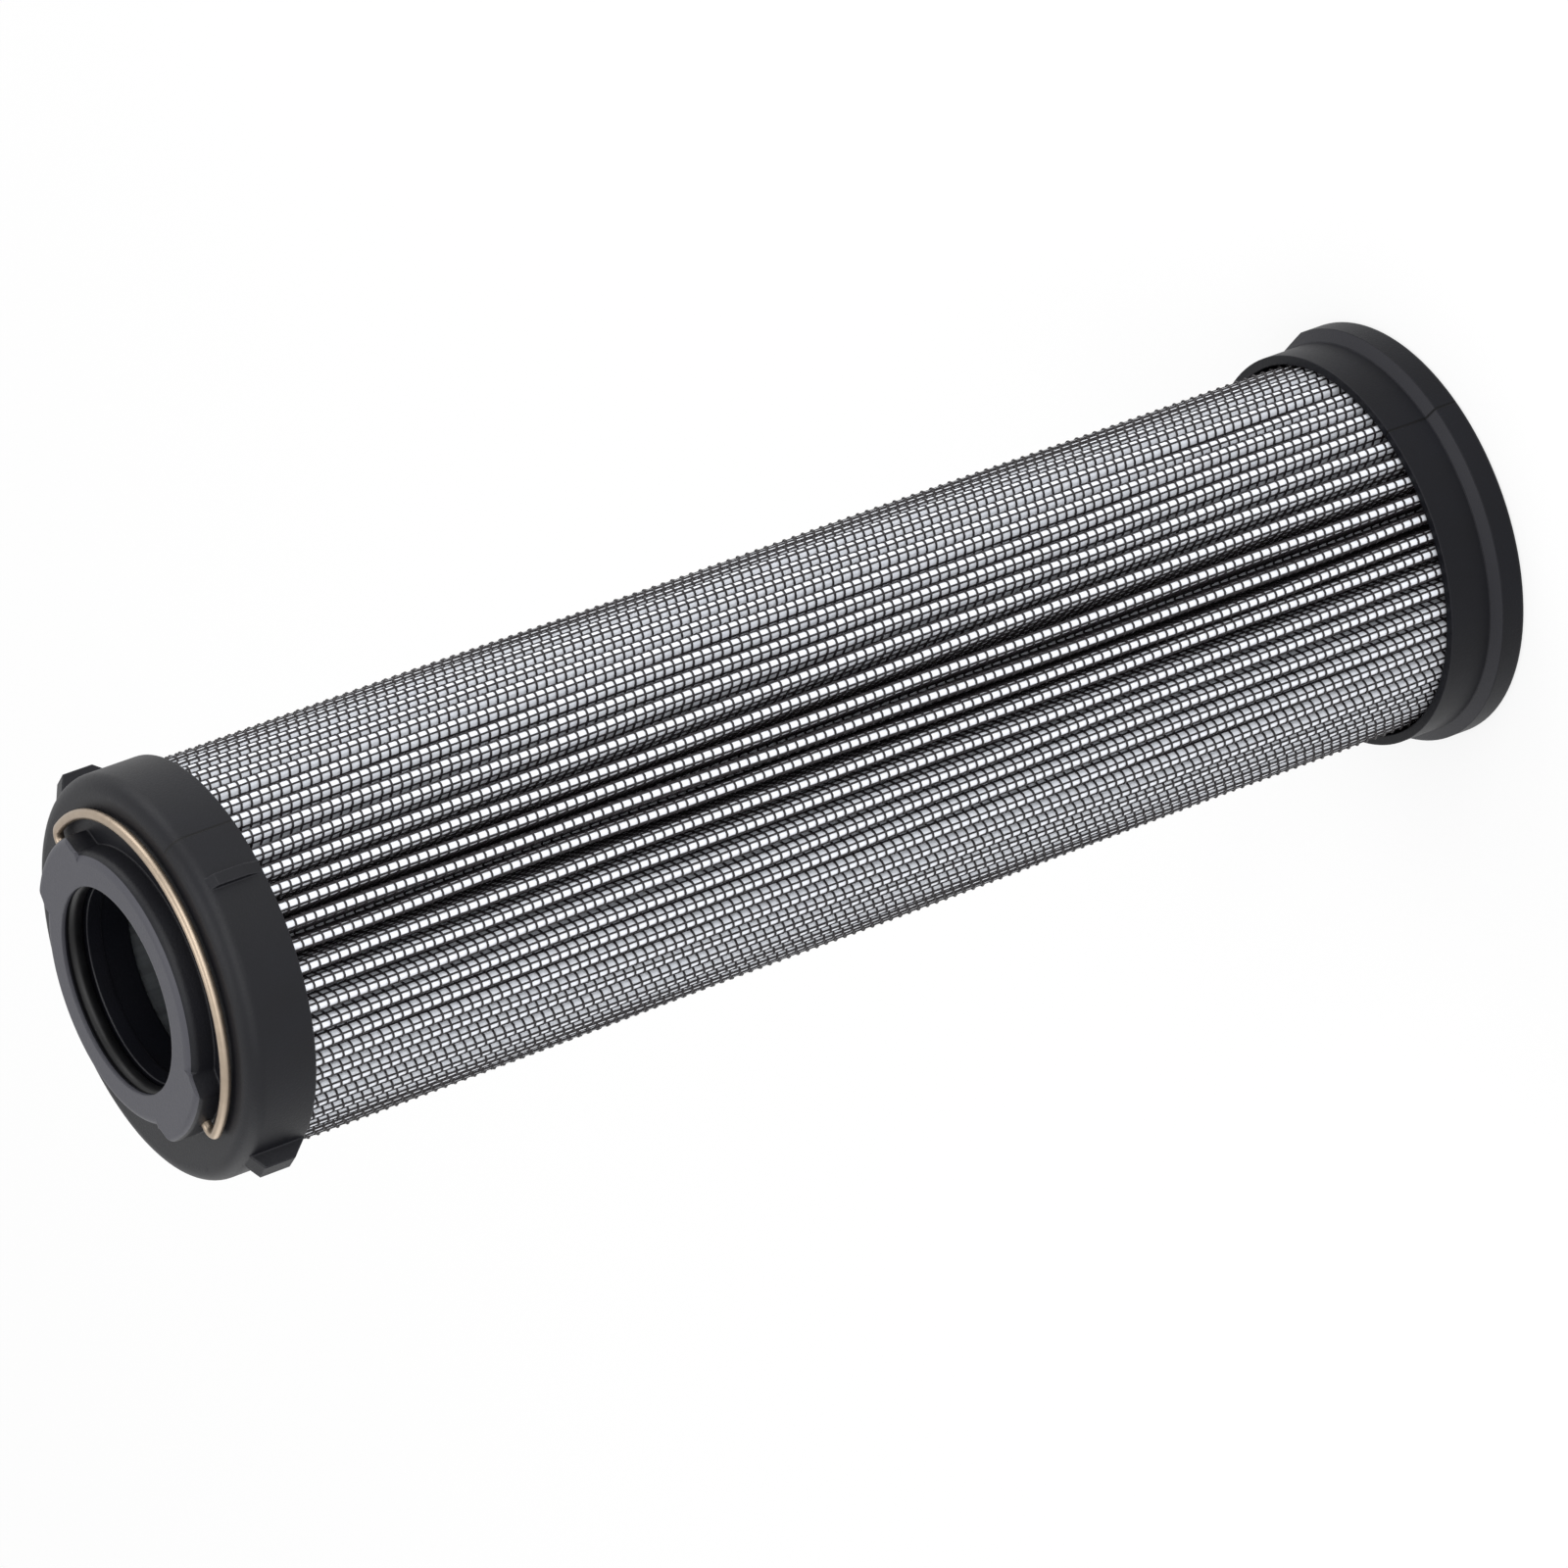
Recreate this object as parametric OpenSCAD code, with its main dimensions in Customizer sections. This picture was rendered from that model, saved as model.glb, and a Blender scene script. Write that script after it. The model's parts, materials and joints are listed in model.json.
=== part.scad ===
// Hydraulic filter element: a pleated cartridge between two moulded end caps.
// It stands on its closed flanged cap, axis up, with the open end and its wire bail on top.

/* [Pleated pack] */
// Depth of the pleats from crest to root
pleat_depth = 9.7; // [6:0.1:14]
// Radius left inside the tightest bend of a fold
bend_r = 0.1; // [0.05:0.01:0.2]
// Gap between neighbouring folds at the root circle
root_gap = 0.065; // [0.03:0.005:0.2]
// Length of the pleats between the two beds of adhesive
pleat_len = 202.8; // [60:0.1:400]
// Distance between two lengthwise wires of the outer mesh
wire_pitch = 1.6; // [1.3:0.05:2]
// Width of a lengthwise wire of the outer mesh
wire_w = 0.32; // [0.2:0.02:0.5]
// Height of a lengthwise wire above the rest of the outer mesh
wire_h = 0.12; // [0.06:0.01:0.14]

/* [Sheets of the pack] */
// Thickness of the coated wire mesh on the outside
outer_mesh_t = 0.24; // [0.15:0.01:0.35]
// Thickness of the protective fleece under the outer mesh
outer_fleece_t = 0.10; // [0.05:0.01:0.2]
// Thickness of the coarse glass fibre sheet
prefilter_t = 0.12; // [0.06:0.01:0.25]
// Thickness of the fine glass fibre sheet
media_t = 0.12; // [0.06:0.01:0.25]
// Thickness of the fleece behind the glass fibre
inner_fleece_t = 0.08; // [0.05:0.01:0.2]
// Thickness of the wire mesh on the inside
inner_mesh_t = 0.14; // [0.08:0.01:0.25]
// Space between two sheets
sheet_gap = 0.02; // [0.01:0.005:0.05]

/* [Side seam] */
// Thickness of the folded seam strip
seam_t = 0.36; // [0.3:0.01:0.4]
// Depth of the seam strip into its valley
seam_depth = 3.6; // [2:0.1:5]
// How far the strip stays below the crests
seam_sink = 0.4; // [0.2:0.1:1]
// Thickness of the strip's sheet metal
seam_sheet = 0.1; // [0.06:0.01:0.12]

/* [Core tube] */
// Wall of the perforated core tube
core_wall = 0.8; // [0.5:0.1:1.2]
// Radial clearance between the core tube and the pleat roots
core_gap = 0.15; // [0.05:0.05:0.4]
// Diameter of the holes in the core tube
core_hole_d = 5; // [3:0.5:7]
// Holes round the core tube in one row
core_holes_round = 8; // [6:1:10]
// Height from one row of holes to the next
core_row_pitch = 12.4; // [9:0.2:20]
// Plain band at each end of the core tube
core_plain_end = 14; // [10:1:24]

/* [Adhesive and seats] */
// Thickness of the adhesive bed in each cap
bond_t = 2; // [1:0.1:3]
// Clearance between the pack and the caps' skirts
skirt_gap = 0.3; // [0.1:0.05:0.6]
// Clearance of parts that slide into one another
slide_gap = 0.15; // [0.1:0.05:0.3]

/* [Bottom cap] */
// Step from the bottom cap's skirt out to its flange
flange_step = 1.8; // [0.8:0.05:4]
// Height of the flange's straight side
flange_h = 4.1; // [2.5:0.1:6]
// Rounding of the flange's lower edge
flange_round = 0.8; // [0.4:0.1:2]
// Height of the bevel between the flange and the skirt
bevel_h = 1.1; // [0.6:0.1:2]
// How far the flat on the flange stands out from the skirt
flat_step = 0.1; // [0.05:0.05:0.6]
// Wall of the bottom cap's skirt
bottom_skirt_wall = 1.4; // [1:0.1:2.4]
// Height of the bottom cap's free edge
bottom_skirt_top = 12; // [9:0.1:20]
// Thickness of the bottom cap's floor
bottom_floor = 4.2; // [3:0.1:6]
// Depth of the dish in the underside
dish_depth = 1; // [0.4:0.1:1.8]
// Width of the ring that the element stands on
foot_ring_w = 7; // [4:0.5:10]
// Height of the ring that centres the core tube
centring_h = 3.3; // [2:0.1:6]
// Wall of the ring that centres the core tube
centring_wall = 2; // [1:0.1:3]

/* [Top cap] */
// Wall of the top cap's skirt
top_skirt_wall = 0.9; // [0.8:0.1:2]
// Length of the skirt over the pleats, below the adhesive bed
top_skirt_cover = 4.4; // [3:0.1:8]
// Height of the annular face above the seat of the adhesive
face_h = 4; // [3:0.1:6]
// Rounding between the skirt and the annular face
shoulder_r = 2.5; // [1:0.1:3]
// Wall of the raised boss outside the seal groove
boss_wall = 3; // [2.4:0.1:4]
// Height of the boss above the annular face
boss_h = 4; // [3.8:0.1:6]
// Rounding of the boss's upper edge
boss_round = 1.6; // [0.4:0.1:2]
// Length of the sleeve inside the core tube
sleeve_len = 2.7; // [1.5:0.1:6]
// Wall of the sleeve inside the core tube
sleeve_wall = 2.3; // [1.2:0.1:4]

/* [Bore and seal] */
// Radius of the bore that guides the housing's spigot
bore_r = 14.9; // [12:0.05:20]
// Height of the guiding land in the bore
land_h = 2.3; // [1.5:0.1:3]
// How much wider the mouth is than the guide, on the radius
mouth_relief = 0.3; // [0.1:0.05:0.6]
// How much wider the sleeve is than the guide, on the radius
sleeve_relief = 0.5; // [0.2:0.05:0.8]
// Thickness of the lip in front of the seal groove
lip_t = 0.8; // [0.5:0.05:1]
// Height of the seal groove
groove_h = 3; // [2.4:0.1:3.4]
// Depth of the seal groove from the guide's radius
groove_depth = 2.1; // [1.6:0.05:2.4]
// Clearance round the seal in its groove
seal_gap = 0.08; // [0.04:0.01:0.15]

/* [Bail and ears] */
// Diameter of the bail wire
wire_d = 1.5; // [1:0.1:1.8]
// Space between the ears and the bail's wire
bail_side_gap = 1.65; // [1.5:0.05:2.2]
// Radius of the bend at each foot of the bail
foot_bend_r = 1.6; // [1.2:0.1:2]
// Swell of the wire where its bends were pressed, on the radius
bend_swell = 0.02; // [0.01:0.01:0.05]
// Space between the resting bail and the annular face
bail_rest_gap = 0.35; // [0.3:0.05:0.8]
// Radial clearance of the wire in its pivot hole
pivot_gap = 0.08; // [0.03:0.01:0.1]
// How deep the wire's feet reach into the ears
foot_depth = 2.6; // [2:0.1:3]
// Wire left free at the bottom of the pivot hole
foot_end_gap = 0.3; // [0.2:0.05:0.5]
// How far the two ears that carry the bail stand out from the boss
ear_reach = 2.4; // [2:0.1:2.8]
// Half of an ear's angle at its tip
ear_tip_deg = 18; // [14:1:22]
// Half of an ear's angle where it meets the boss
ear_base_deg = 26; // [23:1:30]
// Rounding of the ears' upper edge
ear_round = 1.1; // [0.3:0.1:1.5]

/* [Lugs] */
// Number of lugs round the top cap
lugs = 2; // [2:1:6]
// Height of a lug above the skirt
lug_h = 2.3; // [1:0.1:4]
// Width of a lug
lug_w = 3.2; // [2:0.1:6]
// Height of the rib between two lugs above the skirt
rib_h = 1; // [0.5:0.1:2]
// Width of the rib between two lugs
rib_w = 1.8; // [1:0.1:4]
// Length of the crown of a lug or rib along the skirt
lug_len = 4.7; // [3:0.1:6]
// Length of the slope below the crown
lug_slope = 2.6; // [1:0.1:4]
// Length of the slope above the crown, down into the skirt's wall
lug_end_slope = 1.7; // [0.5:0.1:1.8]

/* [Hidden] */
$fn = 96;

// How far a cut runs past the solid that it cuts.
cut = 1;

// Radii from the bore outwards. The core tube slides over the sleeve, and the pack stands on it.
sleeve_bore_r = bore_r + sleeve_relief;
sleeve_r = sleeve_bore_r + sleeve_wall;
core_bore_r = sleeve_r + slide_gap;
core_r = core_bore_r + core_wall;
root_r = core_r + core_gap;
pack_r = root_r + pleat_depth;
skirt_bore_r = pack_r + skirt_gap;
bottom_skirt_r = skirt_bore_r + bottom_skirt_wall;
flange_r = bottom_skirt_r + flange_step;
top_skirt_r = skirt_bore_r + top_skirt_wall;

// Radii on the open end, from the seal groove outwards.
wire_r = wire_d / 2;
groove_r = bore_r + groove_depth;
boss_r = groove_r + boss_wall;
ear_r = boss_r + ear_reach;
bail_r = ear_r + bail_side_gap + wire_r;

// The star of folds. Each sheet is a band between two outlines at a fixed distance from
// the pack's middle surface, so all sheets share the crest and root centres.
pack_t = outer_mesh_t + outer_fleece_t + prefilter_t + media_t + inner_fleece_t + inner_mesh_t
    + 5 * sheet_gap;
fold_r = pack_t + bend_r;
mid_r = fold_r - pack_t / 2;
crest_centre = pack_r - fold_r;
root_centre = root_r + fold_r;
pleats = floor(180 / asin((fold_r + root_gap / 2) / root_centre));
pleat_deg = 360 / pleats;
crest_steps = 6;
root_steps = 3;
cell_steps = 4;
flank_steps = 8;
wires_down_leg = 2;

// From a crest's centre to the next root's centre, and the angle of the leg's normal.
leg_vec = root_centre * [cos(pleat_deg / 2), sin(pleat_deg / 2)] - [crest_centre, 0];
leg_deg = atan2(leg_vec[1], leg_vec[0]) - acos(2 * mid_r / norm(leg_vec));

// Half of a crest's bend, measured along the outer face.
crest_run = fold_r * leg_deg * PI / 180;

// Distances of the sheets' faces from the pack's middle surface, from outside to inside.
mesh_out = pack_t / 2;
mesh_face = mesh_out - wire_h;
fleece_out = mesh_out - outer_mesh_t - sheet_gap;
prefilter_out = fleece_out - outer_fleece_t - sheet_gap;
media_out = prefilter_out - prefilter_t - sheet_gap;
backing_out = media_out - media_t - sheet_gap;
inner_mesh_out = backing_out - inner_fleece_t - sheet_gap;

// Heights
pleat_bottom = bottom_floor + bond_t;
pleat_top = pleat_bottom + pleat_len;
seat_top = pleat_top + bond_t;
face_z = seat_top + face_h;
boss_z = face_z + boss_h;
skirt_edge_z = pleat_top - top_skirt_cover;
pivot_z = face_z + bail_rest_gap + wire_r;
groove_top = boss_z - lip_t;
groove_bottom = groove_top - groove_h;
land_bottom = groove_bottom - land_h;
sleeve_bottom = seat_top - sleeve_len;

// Centre of the bend at a foot of the bail, and the angle at which the arch leaves it.
foot_bend_x = sqrt(pow(bail_r - foot_bend_r, 2) - pow(foot_bend_r, 2));
foot_bend_deg = atan2(foot_bend_r, foot_bend_x);
foot_end_x = ear_r - foot_depth;

cap_colour = [0.17, 0.17, 0.18];
steel_colour = [0.62, 0.62, 0.63];
wire_colour = [0.71, 0.65, 0.59];
mesh_colour = [0.16, 0.14, 0.16];
fleece_colour = [0.91, 0.92, 0.93];
media_colour = [0.95, 0.94, 0.90];
bond_colour = [0.25, 0.24, 0.22];
rubber_colour = [0.07, 0.07, 0.08];

function on_circle(centre, r, deg) = centre + r * [cos(deg), sin(deg)];
function arc(centre, r, from, to, steps) =
    [for (k = [0:steps]) on_circle(centre, r, from + (to - from) * k / steps)];

// The crest of the fold at turn, and the root that follows it.
function crest(turn, out) =
    arc(on_circle([0, 0], crest_centre, turn), mid_r + out, turn - leg_deg, turn + leg_deg,
        crest_steps);
function root(turn, out) =
    arc(on_circle([0, 0], root_centre, turn + pleat_deg / 2), mid_r - out,
        turn + leg_deg + 180, turn + pleat_deg - leg_deg + 180, root_steps);

function star(out) =
    [for (i = [0:pleats - 1]) each concat(crest(i * pleat_deg, out), root(i * pleat_deg, out))];

// The point of a fold that is run away from the middle of its crest along the outer face:
// round the crest's bend first, and then down one of the two legs.
function on_fold(turn, run, out) =
    let (bend = min(abs(run), crest_run) * sign(run),
        deg = turn + leg_deg * bend / crest_run)
    on_circle(on_circle([0, 0], crest_centre, turn), mid_r + out, deg)
        + (run - bend) * [-sin(deg), cos(deg)];

// Cross-section of one lengthwise wire, standing on the face of the mesh.
function lengthwise_wire(turn, run) = [
    on_fold(turn, run - wire_w / 2, mesh_face), on_fold(turn, run - wire_w / 4, mesh_out),
    on_fold(turn, run + wire_w / 4, mesh_out), on_fold(turn, run + wire_w / 2, mesh_face)];

// The bent face between the wire at run and the next one.
function cell(turn, run) = [for (step = [1:cell_steps - 1])
    on_fold(turn, run + wire_w / 2 + (wire_pitch - wire_w) * step / cell_steps, mesh_face)];

function wired_crest(turn) = [for (k = [-wires_down_leg:wires_down_leg])
    each concat(lengthwise_wire(turn, k * wire_pitch),
        abs(k + 0.5) < 1 ? cell(turn, k * wire_pitch) : [])];

function wired_star() = [for (i = [0:pleats - 1])
    each concat(wired_crest(i * pleat_deg), root(i * pleat_deg, mesh_face))];

// A pleated sheet from its outer outline in to a distance from the pack's middle surface.
module pleated_sheet(outline, inner) {
    translate([0, 0, pleat_bottom])
        linear_extrude(pleat_len)
            difference() {
                polygon(outline);
                polygon(star(inner));
            }
}

module outer_mesh() {
    color(mesh_colour) pleated_sheet(wired_star(), mesh_out - outer_mesh_t);
}

module outer_fleece() {
    color(fleece_colour) pleated_sheet(star(fleece_out), fleece_out - outer_fleece_t);
}

module prefilter() {
    color(media_colour) pleated_sheet(star(prefilter_out), prefilter_out - prefilter_t);
}

module filter_media() {
    color(media_colour) pleated_sheet(star(media_out), media_out - media_t);
}

module inner_fleece() {
    color(fleece_colour) pleated_sheet(star(backing_out), backing_out - inner_fleece_t);
}

module inner_mesh() {
    color(steel_colour) pleated_sheet(star(inner_mesh_out), inner_mesh_out - inner_mesh_t);
}

// Hairpin strip along one valley at the back, where the pack's two ends are joined.
module seam_clip() {
    seam_turn = pleat_deg * (floor(90 / pleat_deg) + 0.5);
    seam_out = pack_r - seam_sink - seam_t / 2;
    color(steel_colour)
        translate([0, 0, pleat_bottom])
            linear_extrude(pleat_len)
                rotate(seam_turn)
                    difference() {
                        union() {
                            translate([seam_out - seam_depth, -seam_t / 2])
                                square([seam_depth, seam_t]);
                            translate([seam_out, 0]) circle(seam_t / 2);
                        }
                        translate([seam_out - seam_depth - seam_t, -seam_t / 2 + seam_sheet])
                            square([seam_depth + seam_t, seam_t - 2 * seam_sheet]);
                    }
}

module core_tube() {
    rows_span = seat_top - bottom_floor - 2 * core_plain_end;
    rows = floor(rows_span / core_row_pitch) + 1;
    first_row = (seat_top + bottom_floor - (rows - 1) * core_row_pitch) / 2;
    hole_deg = 360 / core_holes_round;
    color(steel_colour)
        difference() {
            translate([0, 0, bottom_floor]) cylinder(r = core_r, h = seat_top - bottom_floor);
            translate([0, 0, bottom_floor - cut])
                cylinder(r = core_bore_r, h = seat_top - bottom_floor + 2 * cut);
            for (row = [0:rows - 1], k = [0:core_holes_round - 1])
                translate([0, 0, first_row + row * core_row_pitch])
                    rotate([0, 0, (k + (row % 2) / 2) * hole_deg])
                        rotate([0, 90, 0]) translate([0, 0, core_bore_r - cut])
                            cylinder(d = core_hole_d, h = core_wall + 2 * cut);
        }
}

// Adhesive bed that one end of the pack stands in.
module bond(z) {
    color(bond_colour)
        translate([0, 0, z])
            difference() {
                cylinder(r = skirt_bore_r - slide_gap, h = bond_t);
                translate([0, 0, -cut]) cylinder(r = core_r + slide_gap, h = bond_t + 2 * cut);
            }
}

module bottom_bond() {
    bond(bottom_floor);
}

module top_bond() {
    bond(pleat_top);
}

// The bottom cap before its flat is cut.
module round_bottom_cap() {
    foot_r = flange_r - flange_round - foot_ring_w;
    rotate_extrude()
        difference() {
            union() {
                polygon([[0, 0], [flange_r - flange_round, 0], [flange_r, flange_round],
                    [flange_r, flange_h], [bottom_skirt_r, flange_h + bevel_h],
                    [bottom_skirt_r, bottom_skirt_top], [0, bottom_skirt_top]]);
                translate([flange_r - flange_round, flange_round]) circle(flange_round);
            }
            translate([sleeve_r, bottom_floor])
                square([skirt_bore_r - sleeve_r, bottom_skirt_top]);
            translate([-cut, bottom_floor + centring_h])
                square([sleeve_r + 2 * cut, bottom_skirt_top]);
            translate([-cut, bottom_floor])
                square([sleeve_r - centring_wall + cut, bottom_skirt_top]);
            polygon([[-cut, -cut], [foot_r + cut, -cut], [foot_r, 0],
                [foot_r - dish_depth, dish_depth], [-cut, dish_depth]]);
        }
}

// The flange has one flat, on +X, in line with an ear of the top cap.
module bottom_cap() {
    color(cap_colour)
        difference() {
            round_bottom_cap();
            translate([bottom_skirt_r + flat_step, -flange_r, -cut])
                cube([flange_step, 2 * flange_r, flange_h + bevel_h + cut]);
        }
}

// One flank of an ear, a soft S from the boss out to the ear's tip, and on past the ear's rim.
function ear_flank(side) = concat(
    [for (k = [0:flank_steps]) on_circle([0, 0],
        boss_r + ear_reach * (1 - cos(180 * k / flank_steps)) / 2,
        side * (ear_base_deg + (ear_tip_deg - ear_base_deg) * k / flank_steps))],
    [on_circle([0, 0], 2 * ear_r, side * ear_tip_deg)]);

// An ear seen from above, with its middle on +X. The disc that it is cut from ends it at ear_r.
module ear_outline() {
    far_flank = ear_flank(1);
    polygon(concat([[0, 0]], ear_flank(-1),
        [for (k = [len(far_flank) - 1:-1:0]) far_flank[k]]));
}

// Quarter of a disc, for the rounding between a vertical side and a top face.
module quarter_disc(r) {
    intersection() {
        circle(r);
        square(r);
    }
}

// Upright disc with its upper edge rounded.
module rounded_disc(r, z0, z1, edge) {
    rotate_extrude()
        union() {
            polygon([[0, z0], [r, z0], [r, z1 - edge], [r - edge, z1], [0, z1]]);
            translate([r - edge, z1 - edge]) quarter_disc(edge);
        }
}

module ears() {
    for (side = [0, 180])
        rotate(side)
            intersection() {
                rounded_disc(ear_r, seat_top, boss_z, ear_round);
                translate([0, 0, seat_top - cut]) linear_extrude(boss_z) ear_outline();
            }
}

// A lug or a rib on the skirt, on +X: a slope, the crown, and a short slope to the shoulder.
module lug(width, height) {
    crown_bottom = skirt_edge_z + lug_slope;
    crown_top = crown_bottom + lug_len;
    root = skirt_bore_r + top_skirt_wall / 4;
    translate([0, width / 2, 0])
        rotate([90, 0, 0])
            linear_extrude(width)
                polygon([[root, skirt_edge_z], [top_skirt_r, skirt_edge_z],
                    [top_skirt_r + height, crown_bottom], [top_skirt_r + height, crown_top],
                    [root, crown_top + lug_end_slope]]);
}

module top_cap_body() {
    rotate_extrude()
        union() {
            polygon([[0, sleeve_bottom], [sleeve_r, sleeve_bottom], [sleeve_r, seat_top],
                [skirt_bore_r, seat_top], [skirt_bore_r, skirt_edge_z], [top_skirt_r, skirt_edge_z],
                [top_skirt_r, face_z - shoulder_r], [top_skirt_r - shoulder_r, face_z],
                [0, face_z]]);
            translate([top_skirt_r - shoulder_r, face_z - shoulder_r]) quarter_disc(shoulder_r);
        }
}

// The bore from the mouth down: lip, seal groove, guiding land and sleeve.
module bore_cut() {
    rotate_extrude()
        polygon([[0, sleeve_bottom - cut], [sleeve_bore_r, sleeve_bottom - cut],
            [sleeve_bore_r, land_bottom], [bore_r, land_bottom], [bore_r, groove_bottom],
            [groove_r, groove_bottom], [groove_r, groove_top], [bore_r + mouth_relief, groove_top],
            [bore_r + mouth_relief, boss_z + cut], [0, boss_z + cut]]);
}

module top_cap() {
    color(cap_colour)
        difference() {
            union() {
                top_cap_body();
                rounded_disc(boss_r, seat_top, boss_z, boss_round);
                ears();
                for (k = [0:lugs - 1]) {
                    rotate(k * 360 / lugs) lug(lug_w, lug_h);
                    rotate((k + 0.5) * 360 / lugs) lug(rib_w, rib_h);
                }
            }
            bore_cut();
            for (side = [0, 180])
                rotate(side)
                    translate([foot_end_x - foot_end_gap, 0, pivot_z])
                        rotate([0, 90, 0]) cylinder(r = wire_r + pivot_gap, h = bail_r);
        }
}

// Rubber ring with a round bead towards the spigot, drawn as the spigot holds it.
module bore_seal() {
    seal_h = groove_h - 2 * seal_gap;
    bead_r = seal_h / 2;
    color(rubber_colour)
        rotate_extrude()
            translate([0, groove_bottom + seal_gap])
                intersection() {
                    union() {
                        translate([bore_r + bead_r, 0]) square([groove_depth, seal_h]);
                        translate([bore_r + bead_r, bead_r]) circle(bead_r);
                    }
                    square([groove_r - seal_gap, seal_h]);
                }
}

// The bail lies level on the annular face: pivot line along X, arch towards -Y.
module bail_handle() {
    color(wire_colour)
        translate([0, 0, pivot_z]) {
            rotate(180 + foot_bend_deg)
                rotate_extrude(angle = 180 - 2 * foot_bend_deg)
                    translate([bail_r, 0]) circle(wire_r);
            for (side = [0, 1])
                mirror([side, 0, 0]) {
                    for (bend_end = [on_circle([0, 0], bail_r, -foot_bend_deg), [foot_bend_x, 0]])
                        translate(bend_end) sphere(wire_r + bend_swell);
                    translate([foot_bend_x, -foot_bend_r, 0])
                        rotate(-foot_bend_deg)
                            rotate_extrude(angle = 90 + foot_bend_deg)
                                translate([foot_bend_r, 0]) circle(wire_r);
                    translate([foot_end_x, 0, 0])
                        rotate([0, 90, 0]) cylinder(r = wire_r, h = foot_bend_x - foot_end_x);
                }
        }
}

bottom_cap();
bottom_bond();
core_tube();
inner_mesh();
inner_fleece();
filter_media();
prefilter();
outer_fleece();
outer_mesh();
seam_clip();
top_bond();
top_cap();
bore_seal();
bail_handle();
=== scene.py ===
import json
import math
import random

import bpy
import numpy as np
from mathutils import Matrix, Vector


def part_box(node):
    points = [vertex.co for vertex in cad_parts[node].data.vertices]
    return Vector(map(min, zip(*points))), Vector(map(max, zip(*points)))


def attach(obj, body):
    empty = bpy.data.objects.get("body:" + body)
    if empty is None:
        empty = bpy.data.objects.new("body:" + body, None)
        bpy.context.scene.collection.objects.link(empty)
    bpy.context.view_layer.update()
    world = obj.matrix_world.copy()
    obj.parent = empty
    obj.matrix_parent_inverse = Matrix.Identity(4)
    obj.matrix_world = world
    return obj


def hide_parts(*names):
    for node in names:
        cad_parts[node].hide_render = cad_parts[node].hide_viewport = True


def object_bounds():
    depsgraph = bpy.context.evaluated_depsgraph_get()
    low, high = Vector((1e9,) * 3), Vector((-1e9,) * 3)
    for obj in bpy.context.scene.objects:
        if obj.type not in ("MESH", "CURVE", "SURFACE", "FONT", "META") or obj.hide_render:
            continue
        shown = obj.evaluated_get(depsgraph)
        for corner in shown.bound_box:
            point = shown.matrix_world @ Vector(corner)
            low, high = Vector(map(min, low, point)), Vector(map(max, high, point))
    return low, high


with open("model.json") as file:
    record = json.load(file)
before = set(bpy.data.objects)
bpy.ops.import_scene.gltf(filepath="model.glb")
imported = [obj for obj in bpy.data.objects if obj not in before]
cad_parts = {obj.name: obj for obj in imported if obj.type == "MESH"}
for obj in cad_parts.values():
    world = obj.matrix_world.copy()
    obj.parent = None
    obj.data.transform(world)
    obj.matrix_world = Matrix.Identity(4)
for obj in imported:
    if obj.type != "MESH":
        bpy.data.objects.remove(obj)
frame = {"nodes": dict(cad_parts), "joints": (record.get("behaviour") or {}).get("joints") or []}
CAD_LOW, CAD_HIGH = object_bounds()

bl_info = {
    "name": "Pleated filter element",
    "version": (1, 0, 0),
    "blender": (4, 5, 0),
    "location": "View3D > Sidebar > Filter element",
    "description": "Dresses the packed filter element: woven wires, folded fleece, caps and bail",
    "category": "Object",
}

MM = 0.001
TAU = 2 * math.pi
PACK_LOW, PACK_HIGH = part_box("outer_mesh")
PACK_TALL = PACK_HIGH.z - PACK_LOW.z
CORE_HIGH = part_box("core_tube")[1]

# Vertices nearer than this are merged, and a cut takes a vertex this near to it as on it
MERGE = 2e-6
ON_CUT = 1e-7
# Edges that turn by more than this stay sharp in the shading
PACK_EDGE = math.radians(50)
BAIL_EDGE = math.radians(40)
# Straight lengths that each piece of the pack is cut into along the axis, so that it can lean
LONG_WIRE_CUTS = 24
FLEECE_CUTS = 24
HIDDEN_CUTS = 8
# Steps in the bend at a crest, in the bend at a foot of the bail and in half of its arch
CREST_STEPS = 4
FOOT_STEPS = 9
ARCH_STEPS = 48
BAIL_SIDES = 20

# Length of each wave in a fold's lean and its share of the whole
LEAN_WAVES = ((310 * MM, 0.44), (130 * MM, 0.32), (48 * MM, 0.24))
DRIFT_LENGTH = 270 * MM

# Zones of the caps, as lowest and highest z, and least and greatest distance from the axis. The boss
# face and the bevel band are painted paler, as painted light where they catch the lamps; the bore is
# only smoother.
BOSS_FACE = (CAD_HIGH.z - 0.5 * MM, CAD_HIGH.z + 0.5 * MM, 15 * MM, 24 * MM)
BEVEL = (4.15 * MM, 5.15 * MM, 30.3 * MM, 33 * MM)
BORE = (0, 218.3 * MM, 0, 17.2 * MM)
# Distances from the axis between which a cap's side shows its parting line, and the line's edges
SIDE_IN = 27.5 * MM
SIDE_OUT = 40 * MM
LINE_DEEP = 0.08 * MM
LINE_GONE = 0.24 * MM

# What each sheet of the pack is made of
SHEETS = {
    "outer_fleece": "spun_fleece",
    "prefilter": "glass_fibre_paper",
    "filter_media": "glass_fibre_paper",
    "inner_fleece": "spun_fleece",
    "inner_mesh": "zinc_plated_steel",
}
# The solids that keep the CAD's shape, and what each is made of
SOLIDS = {
    "top_cap": "glass_filled_nylon_top",
    "bottom_cap": "glass_filled_nylon_bottom",
    "bore_seal": "nitrile_rubber",
    "core_tube": "zinc_plated_steel",
    "seam_clip": "zinc_plated_steel",
    "top_bond": "cast_adhesive",
    "bottom_bond": "cast_adhesive",
}

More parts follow.
